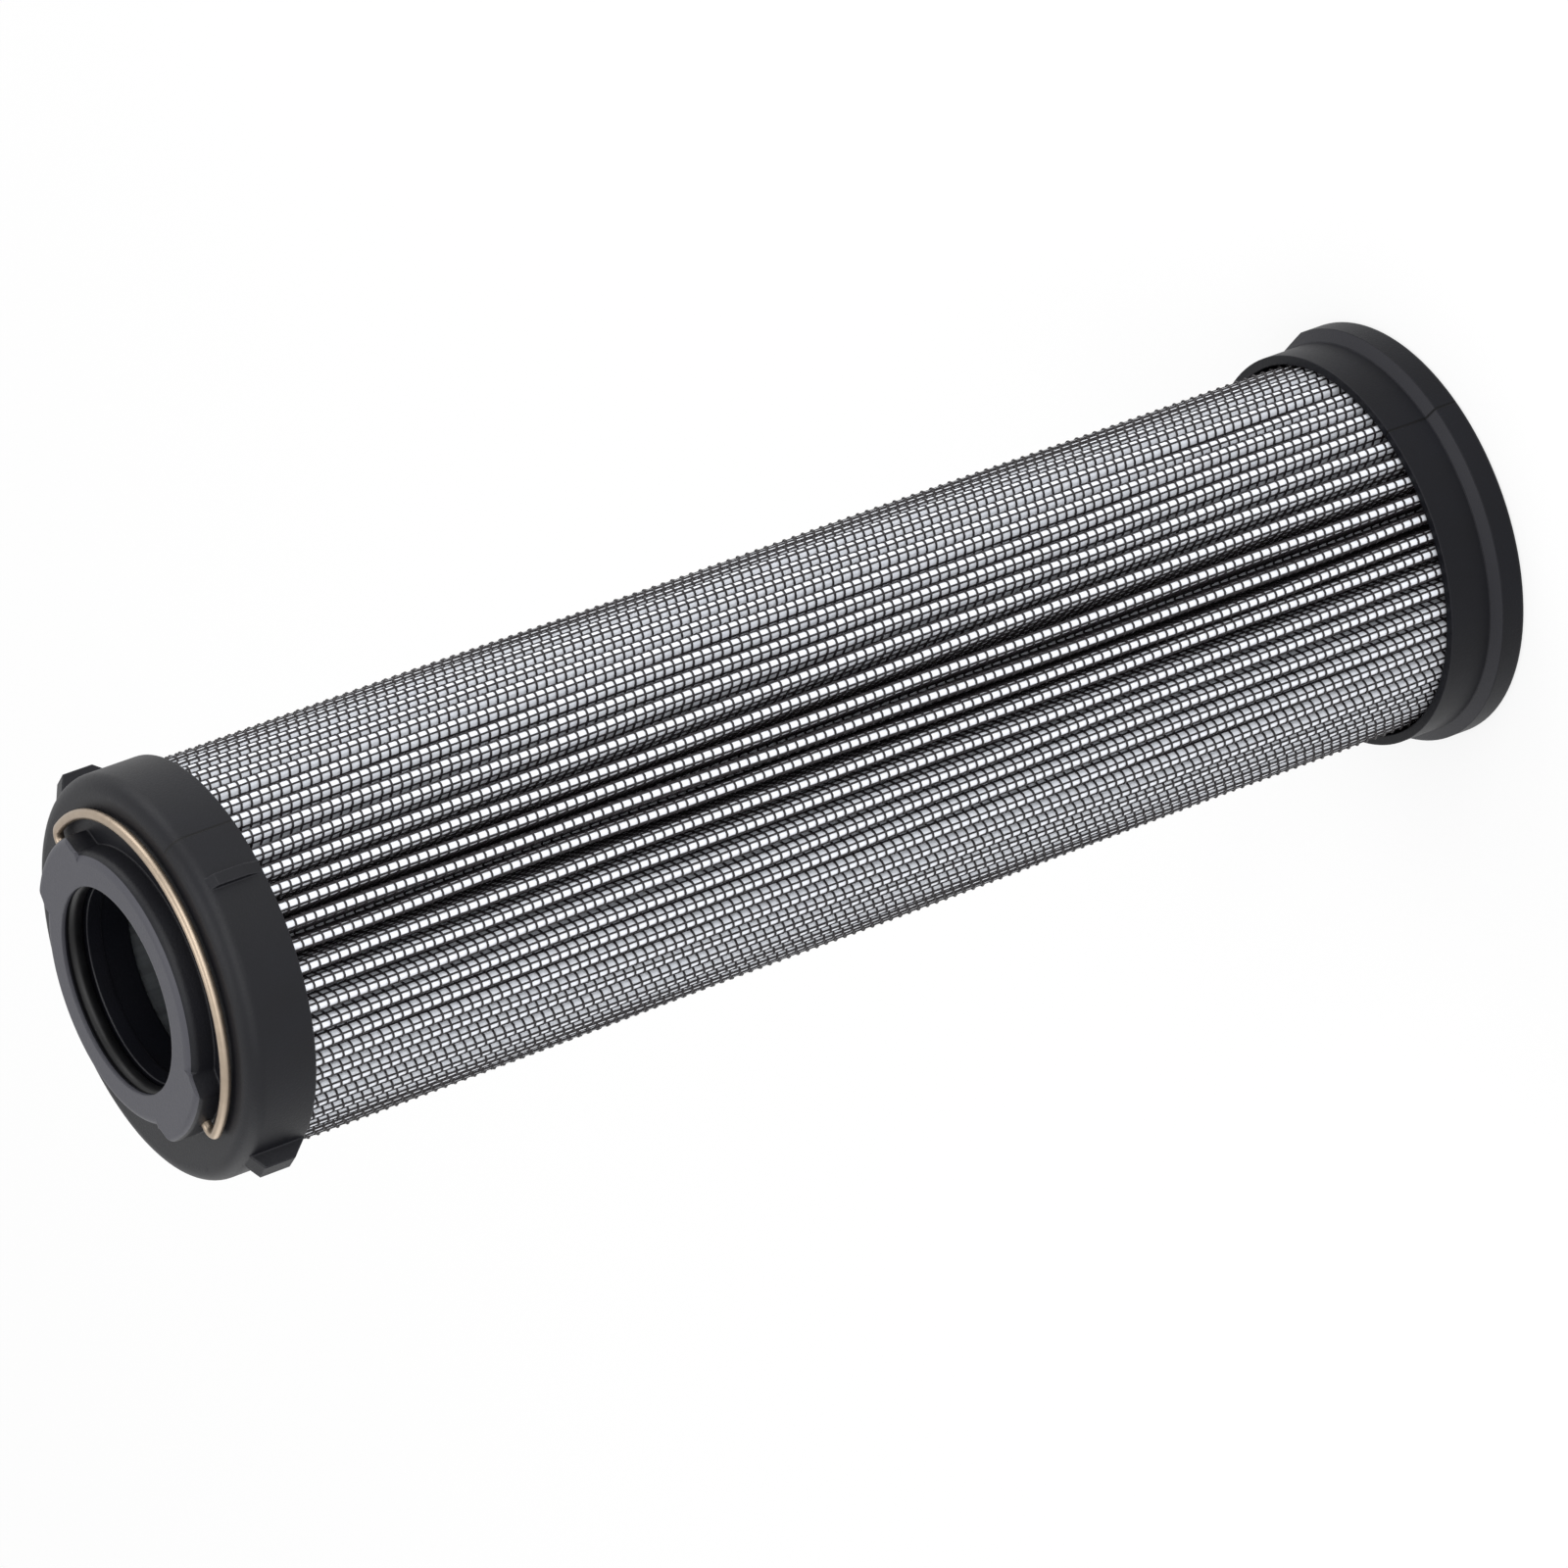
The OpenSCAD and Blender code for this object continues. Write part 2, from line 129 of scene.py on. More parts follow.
# Name, place, size in metres and power in watts of each lamp, and where all of them point
LAMPS = (
    ("key", (0.2, -1.35, 0.35), 0.9, 8.2),
    ("front", (-0.5, -1.2, 0.75), 0.8, 5.5),
    ("side", (1.15, -0.45, 0.35), 0.8, 5.5),
    ("fill", (-1.0, -0.75, 0.8), 0.9, 3.5),
    ("top", (0.15, -0.1, 1.5), 0.8, 6.0),
    ("back", (-0.8, 1.1, 0.5), 1.0, 4.0),
)
LAMP_AIM = (0, 0, 0.11)
# Strength of the surroundings as a light and as they are seen, and the floor's share of plain white
SKY_LIGHT = 0.56
SKY_SEEN = 1.0
FLOOR_GLOW = 0.8
FLOOR_ACROSS = 8
# The camera's place, its axes to the right and backwards, and its lens on its sensor in mm
CAMERA_PLACE = (-0.37214, -1.12502, 0.71671)
CAMERA_RIGHT = (-0.45833, -0.30036, -0.83647)
CAMERA_BACK = (-0.27621, -0.84635, 0.45531)
LENS = 213.14
SENSOR = 36.0
FAR_LIMIT = 50.0


class PackSizes(bpy.types.PropertyGroup):
    folds: bpy.props.IntProperty(name="Folds", description="Folds round the pack", default=60)
    crest_r: bpy.props.FloatProperty(
        name="Crest radius", description="Radius over the crests", default=PACK_HIGH.x,
        unit="LENGTH", precision=5)
    root_r: bpy.props.FloatProperty(
        name="Root radius", description="Radius of the roots next to the core tube",
        default=CORE_HIGH.x + 0.15 * MM, unit="LENGTH", precision=5)
    bend_r: bpy.props.FloatProperty(
        name="Bend radius", description="Outer radius of the bend at a crest",
        default=1.0 * MM, unit="LENGTH", precision=5)
    middle: bpy.props.FloatProperty(
        name="Half thickness", description="From the outer face to the pack's middle surface",
        default=0.45 * MM, unit="LENGTH", precision=5)
    wire_w: bpy.props.FloatProperty(
        name="Wire width", description="Width of a coated wire", default=0.262 * MM,
        unit="LENGTH", precision=5)
    round_wire_h: bpy.props.FloatProperty(
        name="Round wire height", description="Height of a wire that runs round the pack",
        default=0.19 * MM, unit="LENGTH", precision=5)
    long_wire_h: bpy.props.FloatProperty(
        name="Long wire height", description="Height of a wire that runs along the pack",
        default=0.15 * MM, unit="LENGTH", precision=5)
    long_wire_sink: bpy.props.FloatProperty(
        name="Long wire sink", description="How far it lies below the wires that cross it",
        default=0.06 * MM, unit="LENGTH", precision=5)
    round_wires: bpy.props.IntProperty(
        name="Round wires", description="Wires that run round the pack", default=126)
    long_wires: bpy.props.IntProperty(
        name="Long wires", description="Wires that run along the pack", default=720)
    lean: bpy.props.FloatProperty(
        name="Lean", description="Most that a crest leans to one side", default=0.3 * MM,
        unit="LENGTH", precision=5)
    drift: bpy.props.FloatProperty(
        name="Drift", description="Most that neighbouring crests lean the same way",
        default=0.34 * MM, unit="LENGTH", precision=5)
    drift_groups: bpy.props.IntProperty(
        name="Drift groups", description="Groups of crests round the pack that lean together",
        default=8)
    sink: bpy.props.FloatProperty(
        name="Sink", description="Most that a crest sinks below the others", default=0.16 * MM,
        unit="LENGTH", precision=5)


class BailSizes(bpy.types.PropertyGroup):
    wire_r: bpy.props.FloatProperty(
        name="Wire radius", description="Radius of the bail's wire", default=0.75 * MM,
        unit="LENGTH", precision=5)
    arch_r: bpy.props.FloatProperty(
        name="Arch radius", description="Radius of the arch to the middle of the wire",
        default=24.8 * MM, unit="LENGTH", precision=5)
    bend_r: bpy.props.FloatProperty(
        name="Bend radius", description="Radius of the bend at a foot", default=1.6 * MM,
        unit="LENGTH", precision=5)
    foot_end: bpy.props.FloatProperty(
        name="Foot end", description="Distance of a foot's end from the bore's axis",
        default=19.8 * MM, unit="LENGTH", precision=5)


class Finishes(bpy.types.PropertyGroup):
    plastic: bpy.props.StringProperty(
        name="Caps", description="Colour of the moulded caps", default="#111218")
    coating: bpy.props.StringProperty(
        name="Wire coating", description="Colour of the coated wires", default="#241f22")
    fleece: bpy.props.StringProperty(
        name="Fleece", description="Colour of the outer fleece", default="#dfe2e8")
    bail: bpy.props.StringProperty(
        name="Bail", description="Colour of the bail's wire", default="#ab9c8b")


def linear(code):
    """The linear colour of an sRGB hex code."""
    channels = [int(code[i:i + 2], 16) / 255 for i in (1, 3, 5)]
    return tuple(
        c / 12.92 if c <= 0.04045 else ((c + 0.055) / 1.055) ** 2.4 for c in channels) + (1.0,)


def add(tree, kind, inputs=None, **settings):
    """Adds a node, sets it, and sets or links its inputs."""
    node = tree.nodes.new(kind)
    for key, value in settings.items():
        setattr(node, key, value)
    for socket, value in (inputs or {}).items():
        if isinstance(value, bpy.types.NodeSocket):
            tree.links.new(value, node.inputs[socket])
        else:
            node.inputs[socket].default_value = value
    return node


def material(name):
    """The node tree, the shader and the Object coordinates of a new material."""
    made = bpy.data.materials.new(name)
    made.use_nodes = True
    tree = made.node_tree
    place = add(tree, "ShaderNodeTexCoord").outputs["Object"]
    return tree, tree.nodes["Principled BSDF"], place


def wear(piece, name):
    """Gives a piece one material."""
    piece.data.materials.clear()
    piece.data.materials.append(bpy.data.materials[name])


def deselect():
    """Leaves edit mode and selects nothing."""
    if bpy.context.mode != "OBJECT":
        bpy.ops.object.mode_set(mode="OBJECT")
    bpy.ops.object.select_all(action="DESELECT")


def pick(piece):
    """Selects one piece and nothing else."""
    deselect()
    piece.select_set(True)
    bpy.context.view_layer.objects.active = piece


def settle(piece, name):
    """Names a piece and puts its place into its mesh."""
    pick(piece)
    bpy.ops.object.transform_apply(location=True, rotation=True, scale=True)
    piece.name = name
    piece.data.name = name


def turn(angle, centre):
    """Turns the selection about the vertical through centre. With no window the sign is reversed."""
    bpy.ops.transform.rotate(value=-angle, orient_axis="Z", center_override=centre)


def draw_along(path):
    """Extrudes the open outline that is selected along points of a level path with headings."""
    for before, after in zip(path, path[1:]):
        step = (after[0] - before[0], after[1] - before[1], 0)
        bpy.ops.mesh.extrude_region_move(TRANSFORM_OT_translate={"value": step})
        turn(after[2] - before[2], (after[0], after[1], 0))


def cut_level(low, cuts):
    """Cuts a piece as tall as the pack, from low up, into equal lengths. Works in edit mode."""
    for k in range(1, cuts):
        bpy.ops.mesh.select_all(action="SELECT")
        height = low + k / cuts * PACK_TALL
        bpy.ops.mesh.bisect(plane_co=(0, 0, height), plane_no=(0, 0, 1), threshold=ON_CUT)


def tidy_shell(outward=True):
    """Merges doubles and, for a closed form, points its faces outwards. Works in edit mode."""
    bpy.ops.mesh.select_all(action="SELECT")
    bpy.ops.mesh.remove_doubles(threshold=MERGE)
    if outward:
        bpy.ops.mesh.normals_make_consistent(inside=False)


def coordinates(piece):
    """The vertices of a piece, one to a row."""
    flat = np.empty(len(piece.data.vertices) * 3)
    piece.data.vertices.foreach_get("co", flat)
    return flat.reshape(-1, 3)


def put_coordinates(piece, points):
    """Moves the vertices of a piece to the rows of points."""
    piece.data.vertices.foreach_set("co", points.ravel())
    piece.data.update()


def around(centre, r, angle):
    """The point at a radius and an angle from a centre."""
    return centre[0] + r * math.cos(angle), centre[1] + r * math.sin(angle)


class Star:
    """The cross-section of the folds, as the part's source draws it."""

    def __init__(self, sizes):
        self.pitch = TAU / sizes.folds
        self.mid_r = sizes.bend_r - sizes.middle
        self.crest_c = sizes.crest_r - sizes.bend_r
        self.root_c = sizes.root_r + sizes.bend_r
        across = self.root_c * math.cos(self.pitch / 2) - self.crest_c
        up = self.root_c * math.sin(self.pitch / 2)
        span = math.hypot(across, up)
        leg = math.sqrt(span ** 2 - (2 * self.mid_r) ** 2)
        root_run = (sizes.bend_r - 2 * sizes.middle) * (math.pi - self.pitch / 2)
        self.leg_angle = math.atan2(up, across) - math.acos(2 * self.mid_r / span)
        self.crest_run = sizes.bend_r * self.leg_angle
        self.fold_run = 2 * (self.crest_run + leg) + root_run

    def at(self, fold, run, out):
        """Point and heading at a run from a crest's middle, out from the middle surface."""
        bend = max(-self.crest_run, min(run, self.crest_run))
        angle = fold * self.pitch + self.leg_angle * bend / self.crest_run
        crest = around((0, 0), self.crest_c, fold * self.pitch)
        x, y = around(crest, self.mid_r + out, angle)
        down = run - bend
        return x - down * math.sin(angle), y + down * math.cos(angle), angle

    def one_fold(self, out):
        """Path of one fold from the middle of a valley to the middle of the next."""
        half = self.pitch / 2
        valley = around((0, 0), self.root_c, half)
        r = self.mid_r - out
        right = [(*around(valley, r, self.leg_angle + math.pi), self.leg_angle)]
        right.append((*around(valley, r, half + math.pi), half))
        left = [(x, -y, -angle) for x, y, angle in reversed(right)]
        crest = []
        for k in range(CREST_STEPS + 1):
            angle = self.leg_angle * (2 * k / CREST_STEPS - 1)
            crest.append((*around((self.crest_c, 0), self.mid_r + out, angle), angle))
        return left + crest + right


def leanings(sizes):
    """Waves along each fold, as turns a metre, start and share, that its crest leans with."""
    draw = random.Random(11)
    waves = []
    for fold in range(sizes.folds):
        rows = []
        for length, share in LEAN_WAVES:
            rows.append((TAU / length, draw.uniform(0, TAU), share))
        waves.append(rows)
    return np.array(waves)


def sway(points, sizes):
    """Moves points with the folds, which lean and sink more the nearer they are to a crest.

    The two folds that the seam strip joins, on the +Y side, stay straight.
    """
    star = Star(sizes)
    waves = leanings(sizes)
    seam = sizes.folds // 4
    radius = np.hypot(points[:, 0], points[:, 1])
    angle = np.arctan2(points[:, 1], points[:, 0])
    fold = np.round(angle / star.pitch).astype(int) % sizes.folds
    share = np.clip((radius - star.root_c) / (star.crest_c - star.root_c), 0, 1)
    phase = points[:, 2, None] * waves[fold, :, 0] + waves[fold, :, 1]
    moves = np.where((fold == seam) | (fold == seam + 1), 0.0, 1.0)
    lean = (np.sin(phase) * waves[fold, :, 2]).sum(1) * sizes.lean
    # Groups of neighbours lean together, and the groups shift round the pack on the way up
    group = TAU * sizes.drift_groups * fold / sizes.folds
    slow = points[:, 2] * TAU / DRIFT_LENGTH
    wander = 0.6 * np.sin(group + 1.4 * np.sin(slow)) + 0.4 * np.sin(1.75 * group - slow + 1.0)
    lean = (lean + wander * sizes.drift) * moves
    dip = (0.5 + 0.5 * np.cos(1.3 * phase[:, 0] + phase[:, 1])) * moves
    radius = radius - dip * share * sizes.sink
    angle = angle + lean * share / radius
    return np.stack([radius * np.cos(angle), radius * np.sin(angle), points[:, 2]], 1)


class FILTER_OT_round_wires(bpy.types.Operator):
    """Weaves the coated wires that follow the folds round the pack"""

    bl_idname = "filter.round_wires"
    bl_label = "Wires round the pack"

    def execute(self, context):
        sizes = context.scene.filter_pack
        path = Star(sizes).one_fold(sizes.middle - sizes.round_wire_h / 2)
        spacing = PACK_TALL / (sizes.round_wires + 1)
        third = sizes.round_wires // 3
        thirds = (
            ("round_wires_lower", 0, third),
            ("round_wires_middle", third, 2 * third),
            ("round_wires_upper", 2 * third, sizes.round_wires))
        for name, first, last in thirds:
            deselect()
            start = (path[0][0], path[0][1], 0)
            bpy.ops.mesh.primitive_plane_add(size=1, location=start)
            wire = context.active_object
            wire.scale = (sizes.round_wire_h, sizes.wire_w, 1)
            wire.rotation_euler = (math.pi / 2, 0, path[0][2])
            bpy.ops.object.transform_apply(location=True, rotation=True, scale=True)
            bpy.ops.object.mode_set(mode="EDIT")
            bpy.ops.mesh.select_all(action="SELECT")
            bpy.ops.mesh.delete(type="ONLY_FACE")
            bpy.ops.mesh.select_all(action="SELECT")
            draw_along(path)
            bpy.ops.mesh.select_all(action="SELECT")
            bpy.ops.mesh.spin(
                steps=sizes.folds - 1, dupli=True, angle=TAU * (sizes.folds - 1) / sizes.folds,
                center=(0, 0, 0), axis=(0, 0, 1))
            tidy_shell()
            bpy.ops.object.mode_set(mode="OBJECT")
            rows = wire.modifiers.new("Rows", "ARRAY")
            rows.count = last - first
            rows.use_relative_offset = False
            rows.use_constant_offset = True
            rows.constant_offset_displace = (0, 0, spacing)
            bpy.ops.object.modifier_apply(modifier=rows.name)
            wire.location.z = PACK_LOW.z + (first + 1) * spacing
            settle(wire, name)
            put_coordinates(wire, sway(coordinates(wire), sizes))
            bpy.ops.object.shade_smooth_by_angle(angle=PACK_EDGE)
            wear(wire, "epoxy_coated_wire")
            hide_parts("outer_mesh")
            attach(wire, "element")
        return {"FINISHED"}


class FILTER_OT_long_wires(bpy.types.Operator):
    """Lays the coated wires that run along the pack under the wires that go round it"""

    bl_idname = "filter.long_wires"
    bl_label = "Wires along the pack"

    def execute(self, context):
        sizes = context.scene.filter_pack
        star = Star(sizes)
        deselect()
        middle_z = (PACK_LOW.z + PACK_HIGH.z) / 2
        bpy.ops.mesh.primitive_cube_add(size=1)
        wire = context.active_object
        wire.scale = (sizes.long_wire_h, sizes.wire_w, PACK_TALL)
        bpy.ops.object.transform_apply(location=False, rotation=False, scale=True)
        bpy.ops.object.mode_set(mode="EDIT")
        cut_level(-PACK_TALL / 2, LONG_WIRE_CUTS)
        bpy.ops.object.mode_set(mode="OBJECT")
        out = sizes.middle - sizes.long_wire_sink - sizes.long_wire_h / 2
        wires = [wire]
        for k in range(sizes.long_wires):
            run = (k + 0.5) / sizes.long_wires * sizes.folds
            fold = round(run)
            x, y, angle = star.at(fold, (run - fold) * star.fold_run, out)
            if k:
                wires.append(wire.copy())
                wires[-1].data = wire.data.copy()
                context.collection.objects.link(wires[-1])
            wires[-1].matrix_world = (
                Matrix.Translation((x, y, middle_z)) @ Matrix.Rotation(angle, 4, "Z"))
        deselect()
        for each in wires:
            each.select_set(True)
        context.view_layer.objects.active = wire
        bpy.ops.object.join()
        settle(wire, "lengthwise_wires")
        put_coordinates(wire, sway(coordinates(wire), sizes))
        bpy.ops.object.shade_smooth_by_angle(angle=PACK_EDGE)
        wear(wire, "epoxy_coated_wire")
        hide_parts("outer_mesh")
        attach(wire, "element")
        return {"FINISHED"}


class FILTER_OT_sheets(bpy.types.Operator):
    """Folds the fleece and the sheets under it with the same lean as the wires"""

    bl_idname = "filter.sheets"
    bl_label = "Fleece and sheets"

    def execute(self, context):
        sizes = context.scene.filter_pack
        for node, made_of in SHEETS.items():
            source = frame["nodes"][node]
            sheet = bpy.data.objects.new(node + "_folded", source.data.copy())
            context.collection.objects.link(sheet)
            pick(sheet)
            bpy.ops.mesh.customdata_custom_splitnormals_clear()
            bpy.ops.object.mode_set(mode="EDIT")
            tidy_shell(outward=False)
            cut_level(PACK_LOW.z, FLEECE_CUTS if node == "outer_fleece" else HIDDEN_CUTS)
            bpy.ops.object.mode_set(mode="OBJECT")
            lay_weave_map(sheet, sizes)
            put_coordinates(sheet, sway(coordinates(sheet), sizes))
            bpy.ops.object.shade_smooth_by_angle(angle=PACK_EDGE)
            wear(sheet, made_of)
            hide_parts(node)
            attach(sheet, "element")
        return {"FINISHED"}


def lay_weave_map(sheet, sizes):
    """A UV map that counts the wires: along the folds in U, up the pack in V."""
    star = Star(sizes)
    points = coordinates(sheet)
    mesh = sheet.data
    while mesh.uv_layers:
        mesh.uv_layers.remove(mesh.uv_layers[0])
    layer = mesh.uv_layers.new(name="weave")
    corners = np.empty(len(mesh.loops), int)
    mesh.loops.foreach_get("vertex_index", corners)
    totals = np.empty(len(mesh.polygons), int)
    mesh.polygons.foreach_get("loop_total", totals)
    face = np.repeat(np.arange(len(totals)), totals)
    starts = np.concatenate([[0], np.cumsum(totals)[:-1]])
    xy = points[corners, :2]
    middles = np.add.reduceat(xy, starts) / totals[:, None]
    fold = np.round(np.arctan2(middles[:, 1], middles[:, 0]) / star.pitch)[face]
    # Each corner with its fold turned to +X, as seen from the centre of the crest's bend
    cos, sin = np.cos(-fold * star.pitch), np.sin(-fold * star.pitch)
    x = xy[:, 0] * cos - xy[:, 1] * sin - star.crest_c
    y = xy[:, 0] * sin + xy[:, 1] * cos
    angle = np.arctan2(y, x)
    bent = np.clip(angle, -star.leg_angle, star.leg_angle)
    side = np.sign(y)
    down = np.where(
        np.abs(angle) > star.leg_angle,
        -x * math.sin(star.leg_angle) + np.abs(y) * math.cos(star.leg_angle), 0)
    run = bent * sizes.bend_r + side * np.clip(down, 0, None)
    u = (fold + run / star.fold_run) * sizes.long_wires / sizes.folds - 0.5
    spacing = PACK_TALL / (sizes.round_wires + 1)
    v = (points[corners, 2] - PACK_LOW.z) / spacing
    layer.data.foreach_set("uv", np.stack([u, v], 1).ravel())


class FILTER_OT_bail(bpy.types.Operator):
    """Bends the bail from one length of wire and lays it on the annular face"""

    bl_idname = "filter.bail"
    bl_label = "Bail"

    def execute(self, context):
        sizes = context.scene.filter_bail
        reach = math.sqrt((sizes.arch_r - sizes.bend_r) ** 2 - sizes.bend_r ** 2)
        lag = math.atan2(sizes.bend_r, reach)
        bend = (reach, -sizes.bend_r)
        half = [(sizes.foot_end, 0, 0), (reach, 0, 0)]
        for k in range(1, FOOT_STEPS + 1):
            angle = math.pi / 2 - (math.pi / 2 + lag) * k / FOOT_STEPS
            half.append((*around(bend, sizes.bend_r, angle), angle - math.pi / 2))
        for k in range(1, ARCH_STEPS + 1):
            angle = -lag - (math.pi / 2 - lag) * k / ARCH_STEPS
            half.append((*around((0, 0), sizes.arch_r, angle), angle - math.pi / 2))
        path = half + [(-x, y, -TAU - heading) for x, y, heading in reversed(half[:-1])]
        deselect()
        bpy.ops.mesh.primitive_circle_add(
            vertices=BAIL_SIDES, radius=sizes.wire_r, fill_type="NGON",
            location=(path[0][0], path[0][1], 0), rotation=(0, math.pi / 2, 0))
        wire = context.active_object
        bpy.ops.object.transform_apply(location=True, rotation=True, scale=True)
        bpy.ops.object.mode_set(mode="EDIT")
        bpy.ops.mesh.select_all(action="SELECT")
        draw_along(path)
        tidy_shell()
        bpy.ops.object.mode_set(mode="OBJECT")
        wire.location = frame["joints"][0]["pos_m"]
        settle(wire, "bail_wire")
        bpy.ops.object.shade_smooth_by_angle(angle=BAIL_EDGE)
        wear(wire, "drawn_stainless_wire")
        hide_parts("bail_handle")
        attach(wire, "bail")
        return {"FINISHED"}


class FILTER_OT_finishes(bpy.types.Operator):
    """Makes the materials and puts them on the nodes that stay as they are"""

    bl_idname = "filter.finishes"
    bl_label = "Materials"

    def execute(self, context):
        colours = context.scene.filter_finishes
        # The colour pale is painted light on the boss face and on the bevel band, and the edge specks
        # are a painted highlight.
        moulded_nylon(
            "glass_filled_nylon_top", colours.plastic, pale="#434349", lit_zone=BOSS_FACE,
            parting_deg=-74.5, edge_r=0.45 * MM, shine=0.2)
        moulded_nylon(
            "glass_filled_nylon_bottom", colours.plastic, pale="#28282c", lit_zone=BEVEL,
            parting_deg=-81.8, edge_r=0.25 * MM, shine=0.13)
        coated_wire(colours.coating)
        spun_fleece(colours.fleece)
        glass_fibre()
        zinc_steel()
        nitrile_rubber()
        stainless_wire(colours.bail)
        cast_adhesive()
        for node, name in SOLIDS.items():
            wear(frame["nodes"][node], name)
        return {"FINISHED"}


def mottle(tree, shader, place, size, detail, dark, pale, rough):
    """Blotches of one size, in metres, that run from a dark colour to a pale one.

    Rough is a pair where the roughness follows them, and a number where it is even.
    """
    cloud = add(tree, "ShaderNodeTexNoise", {
        "Vector": place, "Scale": 1 / size, "Detail": detail}).outputs["Fac"]
    tone = add(tree, "ShaderNodeMix", {
        "Factor": cloud, "A": linear(dark), "B": linear(pale)}, data_type="RGBA")
    tree.links.new(tone.outputs["Result"], shader.inputs["Base Color"])
    if isinstance(rough, tuple):
        gloss = add(tree, "ShaderNodeMapRange", {
            "Value": cloud, "To Min": rough[0], "To Max": rough[1]})
        tree.links.new(gloss.outputs["Result"], shader.inputs["Roughness"])
    else:
        shader.inputs["Roughness"].default_value = rough


def zone(tree, height, radius, limits):
    """One between two heights and two distances from the axis, and nought elsewhere."""
    low, high, inner, outer = limits
    inside = []
    for value, least, most in ((height, low, high), (radius, inner, outer)):
        inside.append(add(tree, "ShaderNodeMath", {
            0: value, 1: (least + most) / 2, 2: (most - least) / 2}, operation="COMPARE"))
    return add(tree, "ShaderNodeMath", {
        0: inside[0].outputs[0], 1: inside[1].outputs[0]}, operation="MULTIPLY").outputs[0]


def parting_line(tree, out, aside):
    """One on the hairline that the tool left up a cap's side, given the way out and aside."""
    beside = add(tree, "ShaderNodeMath", {0: aside}, operation="ABSOLUTE")
    line = add(tree, "ShaderNodeMapRange", {
        "Value": beside.outputs[0], "From Min": LINE_DEEP, "From Max": LINE_GONE,
        "To Min": 1.0, "To Max": 0.0})
    on_side = add(tree, "ShaderNodeMath", {
        0: out, 1: (SIDE_IN + SIDE_OUT) / 2, 2: (SIDE_OUT - SIDE_IN) / 2}, operation="COMPARE")
    return add(tree, "ShaderNodeMath", {
        0: line.outputs["Result"], 1: on_side.outputs[0]}, operation="MULTIPLY").outputs[0]


def edge_highlight_paint(tree, edge, grain):
    """More than nought, in specks, where the rounded normal leaves that of the face: a painted
    highlight along the edges.
    """
    faced = add(tree, "ShaderNodeNewGeometry").outputs["Normal"]
    along = add(tree, "ShaderNodeVectorMath", {0: edge, 1: faced}, operation="DOT_PRODUCT")
    share = add(tree, "ShaderNodeMapRange", {
        "Value": along.outputs["Value"], "From Min": 0.98, "From Max": 0.8,
        "To Min": 0.0, "To Max": 0.8})
    return add(tree, "ShaderNodeMath", {
        0: share.outputs["Result"], 1: grain}, operation="MULTIPLY").outputs[0]


def moulded_nylon(name, code, pale, lit_zone, parting_deg, edge_r, shine):
    """Glass-filled polyamide, moulded in a spark-eroded tool: a satin charcoal with a fine grain.

    A hairline runs up the side at parting_deg, where the two halves of the tool met. Edges
    look rounded to edge_r and carry a painted highlight in light specks. The given zone of the
    cap is painted in the colour pale, as painted light where that face catches the lamps, and
    the bore is smoother and wet with oil.
    """
    tree, shader, place = material(name)
    grain = add(tree, "ShaderNodeTexNoise", {
        "Vector": place, "Scale": 1 / (0.32 * MM), "Detail": 3.0, "Roughness": 0.6}).outputs["Fac"]
    cloud = add(tree, "ShaderNodeTexNoise", {
        "Vector": place, "Scale": 1 / (9 * MM), "Detail": 2.0}).outputs["Fac"]
    turned = add(tree, "ShaderNodeVectorRotate", {
        "Vector": place, "Angle": -math.radians(parting_deg)}, rotation_type="Z_AXIS")
    parts = add(tree, "ShaderNodeSeparateXYZ", {"Vector": turned.outputs[0]})
    level = add(tree, "ShaderNodeVectorMath", {0: place, 1: (1, 1, 0)}, operation="MULTIPLY")
    radius = add(tree, "ShaderNodeVectorMath", {0: level.outputs[0]},
                 operation="LENGTH").outputs["Value"]
    edge = add(tree, "ShaderNodeBevel", {"Radius": edge_r}, samples=8).outputs["Normal"]
    parting = parting_line(tree, parts.outputs["X"], parts.outputs["Y"])
    # Tones over the mottle: painted light on the given zone, a painted highlight in specks on the
    # edges, and the dark parting line.
    layers = (
        (cloud, code),
        (zone(tree, parts.outputs["Z"], radius, lit_zone), pale),
        (edge_highlight_paint(tree, edge, grain), "#3a3a3f"),
        (parting, "#050506"))
    tone = linear("#0d0d10")
    for share, colour in layers:
        tone = add(tree, "ShaderNodeMix", {"Factor": share, "A": tone, "B": linear(colour)},
                   data_type="RGBA").outputs["Result"]
    satin = add(tree, "ShaderNodeMapRange", {"Value": grain, "To Min": 0.4, "To Max": 0.56})
    bore = zone(tree, parts.outputs["Z"], radius, BORE)
    gloss = add(tree, "ShaderNodeMath", {
        0: bore, 1: -0.14, 2: satin.outputs["Result"]}, operation="MULTIPLY_ADD")
    relief = add(tree, "ShaderNodeMath", {0: parting, 1: -3.0, 2: grain},
                 operation="MULTIPLY_ADD")
    bump = add(tree, "ShaderNodeBump", {
        "Height": relief.outputs[0], "Distance": 0.06 * MM, "Strength": 0.6, "Normal": edge})
    tree.links.new(tone, shader.inputs["Base Color"])
    tree.links.new(gloss.outputs[0], shader.inputs["Roughness"])
    tree.links.new(bump.outputs["Normal"], shader.inputs["Normal"])
    shader.inputs["IOR"].default_value = 1.53
    shader.inputs["Specular IOR Level"].default_value = shine


def coated_wire(code):
    """Steel wire woven square and dipped in black epoxy: a smooth, slightly glossy skin."""
    tree, shader, place = material("epoxy_coated_wire")
    mottle(tree, shader, place, 1.1 * MM, 2.0, "#1b181a", code, (0.35, 0.55))
    shader.inputs["Specular IOR Level"].default_value = 0.38


